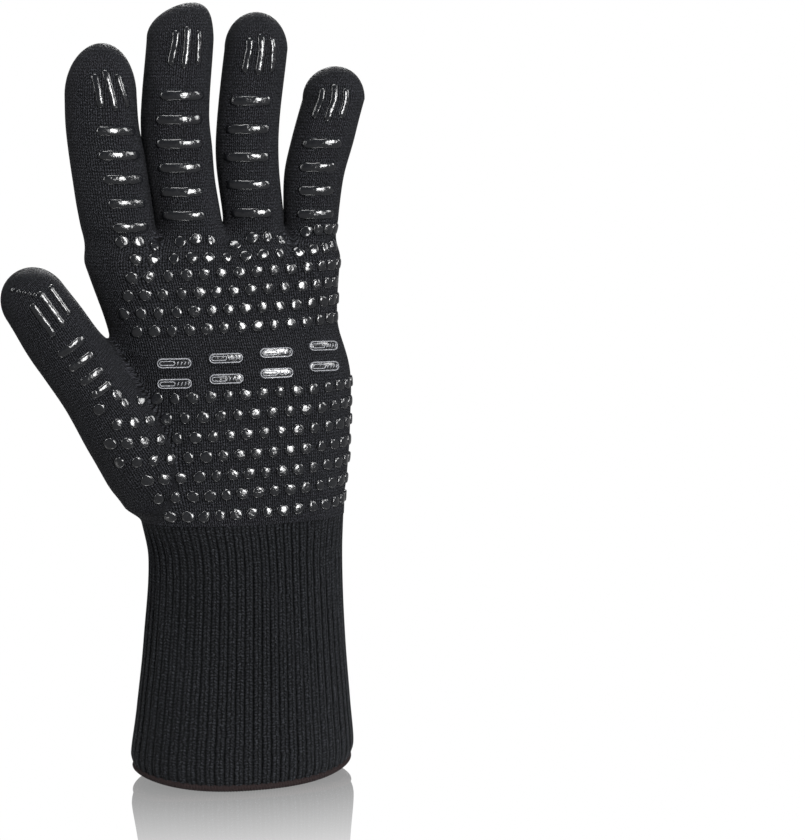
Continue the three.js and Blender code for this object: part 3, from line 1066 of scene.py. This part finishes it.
def thumb_marks():
    for k, (low, high) in enumerate(((11, 28), (8.5, 27), (9.5, 25))):
        found = [thumb_point(-6.4 + 5.4 * k, s) for s in np.linspace(low, high, 15)]
        path, normals = (np.array(v) for v in zip(*found))
        region = region_of(path[7][None])[0]
        more = {"wobble": 0.12, "seed": 1.3 * k}
        marks.add(region, *stroke(path, normals, STRIP_WIDTH, STRIP_HEIGHT, **more))
    for i in range(6):
        centre, normal = frame_at(-73.8 + 2.1 * i, 214.8 - 0.5 * i)
        put_dot(centre, normal, 1.9 * i, 1.9, 0.6)
    for i, (side, s) in enumerate(((-8.4, 63.6), (1.0, 63.0))):
        centre, normal = thumb_point(side, s)
        put_dot(centre, normal, 2.3 * i, height=0.8)
    for i, s in enumerate((35.5, 43, 50.5, 57.5)):
        centre, normal = thumb_point(-3.0, s)
        more = {"wobble": 0.1, "seed": 1.3 * i}
        put_stroke(marks, centre, normal, THUMB_SIDE, straight(13.5 - i), 3.8, 0.7, **more)


marks = Print()
palm_dots()
mound_dots()
finger_marks()
thumb_marks()
marks.build("print")

# The eight bars across the palm, each its own piece
BAR_ROWS = {"upper": 182.0, "lower": 173.4}
BAR_FIRST = -7.6
BAR_PITCH = (21.5, 1.6)
PALM_BAR_LENGTH = 14.6
PALM_BAR_WIDTH = 4.4


def capsule(length, width, count=28):
    """Points round the outline of a bar with round ends."""
    half = (length - width) / 2
    points = []
    for end in (1, -1):
        for t in np.linspace(-math.pi / 2, math.pi / 2, count // 4 + 1):
            points.append((end * (half + math.cos(t) * width / 2), end * math.sin(t) * width / 2))
        points.extend([(end * half * q, end * width / 2) for q in (0.6, 0.2, -0.2, -0.6)])
    return points


def palm_bars():
    """Low bars under rims coloured pale grey as a painted highlight, with a smaller rim in one half and
    slanted ribs in the other.
    """
    for row, height in BAR_ROWS.items():
        for i in range(4):
            centre, normal = frame_at(BAR_FIRST + i * BAR_PITCH[0], height + i * BAR_PITCH[1])
            base, edges = Print(), Print()
            outline = straight(PALM_BAR_LENGTH - 0.3)
            put_stroke(base, centre, normal, ACROSS, outline, PALM_BAR_WIDTH - 0.3, 0.45)
            rim = capsule(PALM_BAR_LENGTH - 0.8, PALM_BAR_WIDTH - 0.8)
            put_stroke(edges, centre, normal, ACROSS, rim, 0.62, 0.95, closed=True)
            small = [(p - 2.9, q) for p, q in capsule(6.2, 1.7)]
            put_stroke(edges, centre, normal, ACROSS, small, 0.55, 0.85, closed=True)
            for k in range(4):
                at = 1.5 + 1.5 * k
                rib_path = [(at - 0.45 + 0.3 * t, -1.2 + 0.8 * t) for t in range(4)]
                put_stroke(edges, centre, normal, ACROSS, rib_path, 0.6, 0.85)
            base.build(f"bar_{row}_{i + 1}")
            edges.build(f"rim_{row}_{i + 1}", RIM_PAINTED_HIGHLIGHT)
            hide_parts(f"grip_bar_{row}_{i + 1}")


palm_bars()


# ---- light, floor and camera, in metres ----
ROOM_LIGHT = 0.15  # strength of the dim world


def world_light():
    """White to the camera and in the floor's mirror, pale behind the glove, dim everywhere else."""
    world = bpy.data.worlds.new("Studio")
    bpy.context.scene.world = world
    world.use_nodes = True
    tree = world.node_tree
    white = tree.nodes["Background"]
    white.inputs["Color"].default_value = (1, 1, 1, 1)
    dim = tree.nodes.new("ShaderNodeBackground")
    dim.inputs["Color"].default_value = (0.93, 0.96, 1, 1)
    dim.inputs["Strength"].default_value = ROOM_LIGHT
    place = tree.nodes.new("ShaderNodeTexCoord")
    parts = tree.nodes.new("ShaderNodeSeparateXYZ")
    tree.links.new(place.outputs["Generated"], parts.inputs[0])
    behind = tree.nodes.new("ShaderNodeMapRange")
    tree.links.new(parts.outputs["Y"], behind.inputs["Value"])
    behind.inputs["From Min"].default_value = 0.45
    behind.inputs["From Max"].default_value = 0.75
    behind.inputs["To Max"].default_value = 0.6
    path = tree.nodes.new("ShaderNodeLightPath")
    either = tree.nodes.new("ShaderNodeMath")
    either.operation = "MAXIMUM"
    tree.links.new(path.outputs["Is Camera Ray"], either.inputs[0])
    tree.links.new(path.outputs["Is Singular Ray"], either.inputs[1])
    most = tree.nodes.new("ShaderNodeMath")
    most.operation = "MAXIMUM"
    tree.links.new(either.outputs[0], most.inputs[0])
    tree.links.new(behind.outputs["Result"], most.inputs[1])
    mix = tree.nodes.new("ShaderNodeMixShader")
    tree.links.new(most.outputs[0], mix.inputs[0])
    tree.links.new(dim.outputs[0], mix.inputs[1])
    tree.links.new(white.outputs[0], mix.inputs[2])
    tree.links.new(mix.outputs[0], tree.nodes["World Output"].inputs["Surface"])


MOUTH_CENTRE, MOUTH_HALF_WIDTH, MOUTH_HALF_DEPTH = 0.0228, 0.049, 0.031
MIRROR_FROM, MIRROR_TO = 0.9, 5.7  # the mirror fades between these, in half widths of the mouth
MIRROR_SHARE = 0.72
FLOOR_SIZE, FLOOR_DROP = 30, 0.0002


def pale_floor():
    """A white floor that mirrors the glove softly close to the hem."""
    n = Nodes("Floor")
    tree = n.tree
    place = n.make("ShaderNodeTexCoord").outputs["Object"]
    near = n.make("ShaderNodeMapping")
    n.put(near.inputs["Vector"], place)
    near.inputs["Location"].default_value = (-MOUTH_CENTRE / MOUTH_HALF_WIDTH, 0, 0)
    near.inputs["Scale"].default_value = (1 / MOUTH_HALF_WIDTH, 1 / MOUTH_HALF_DEPTH, 0)
    reach = n.make("ShaderNodeVectorMath", operation="LENGTH")
    n.put(reach.inputs[0], near.outputs[0])
    share = n.make("ShaderNodeMapRange")
    n.put(share.inputs["Value"], reach.outputs["Value"])
    share.inputs["From Min"].default_value = MIRROR_FROM
    share.inputs["From Max"].default_value = MIRROR_TO
    share.inputs["To Min"].default_value = MIRROR_SHARE
    share.inputs["To Max"].default_value = 0.0
    glow = n.make("ShaderNodeEmission")
    rays = n.make("ShaderNodeLightPath")
    clear = n.math("MAXIMUM", rays.outputs["Is Camera Ray"], rays.outputs["Is Singular Ray"])
    n.put(glow.inputs["Strength"], n.spread(clear, 0.4, 1.0))
    mirror = n.make("ShaderNodeBsdfGlossy")
    n.put(mirror.inputs["Roughness"], 0.0)
    n.put(mirror.inputs["Color"], (1, 1, 1, 1))
    mix = n.make("ShaderNodeMixShader")
    tree.links.new(share.outputs["Result"], mix.inputs[0])
    tree.links.new(glow.outputs[0], mix.inputs[1])
    tree.links.new(mirror.outputs[0], mix.inputs[2])
    tree.links.new(mix.outputs[0], tree.nodes["Material Output"].inputs["Surface"])
    bpy.ops.mesh.primitive_plane_add(size=FLOOR_SIZE, location=(0, 0, -FLOOR_DROP))
    floor = bpy.context.object
    floor.name = "floor"
    floor.data.materials.append(n.material)


# Soft boxes: azimuth, elevation, distance, width, height and power
LAMPS = {
    "front": (22, 12, 1.2, 0.3, 0.5, 24),
    "right": (62, 24, 1.2, 0.2, 0.6, 9),
    "left": (-82, 20, 1.2, 0.2, 0.7, 9),
    "top": (-20, 72, 1.2, 0.6, 0.25, 12),
    "back": (165, 34, 1.3, 0.35, 0.7, 30),
}


LAMP_TARGET = (0.0, 0.0, 0.18)

# The photograph's viewing angle, in degrees, and where the camera aims
CAMERA_AZIMUTH, CAMERA_ELEVATION, CAMERA_DISTANCE = -15, 9, 1.1
CAMERA_AIM = (0.0947, 0, 0.1516)
VIEW_WIDTH = 0.364  # of the picture, at the aim
SENSOR_WIDTH = 36  # millimetres


def stand(name, data, target, azimuth, elevation, distance):
    """Puts a lamp or camera at a distance from the target, looking at it."""
    a, e = math.radians(azimuth), math.radians(elevation)
    away = Vector((math.sin(a) * math.cos(e), -math.cos(a) * math.cos(e), math.sin(e)))
    obj = bpy.data.objects.new(name, data)
    obj.location = Vector(target) + distance * away
    obj.rotation_mode = "QUATERNION"
    obj.rotation_quaternion = (-away).to_track_quat("-Z", "Y")
    bpy.context.scene.collection.objects.link(obj)
    return obj


def studio():
    world_light()
    pale_floor()
    for name, (azimuth, elevation, distance, width, height, power) in LAMPS.items():
        data = bpy.data.lights.new(name, "AREA")
        data.shape = "RECTANGLE"
        data.size, data.size_y = width, height
        data.energy = power
        stand(name, data, LAMP_TARGET, azimuth, elevation, distance)


def camera():
    data = bpy.data.cameras.new("Camera")
    data.sensor_width = SENSOR_WIDTH
    data.lens = SENSOR_WIDTH * CAMERA_DISTANCE / VIEW_WIDTH
    bpy.context.scene.camera = stand(
        "Camera", data, CAMERA_AIM, CAMERA_AZIMUTH, CAMERA_ELEVATION, CAMERA_DISTANCE
    )


studio()
camera()
bpy.context.scene.view_settings.view_transform = "Standard"
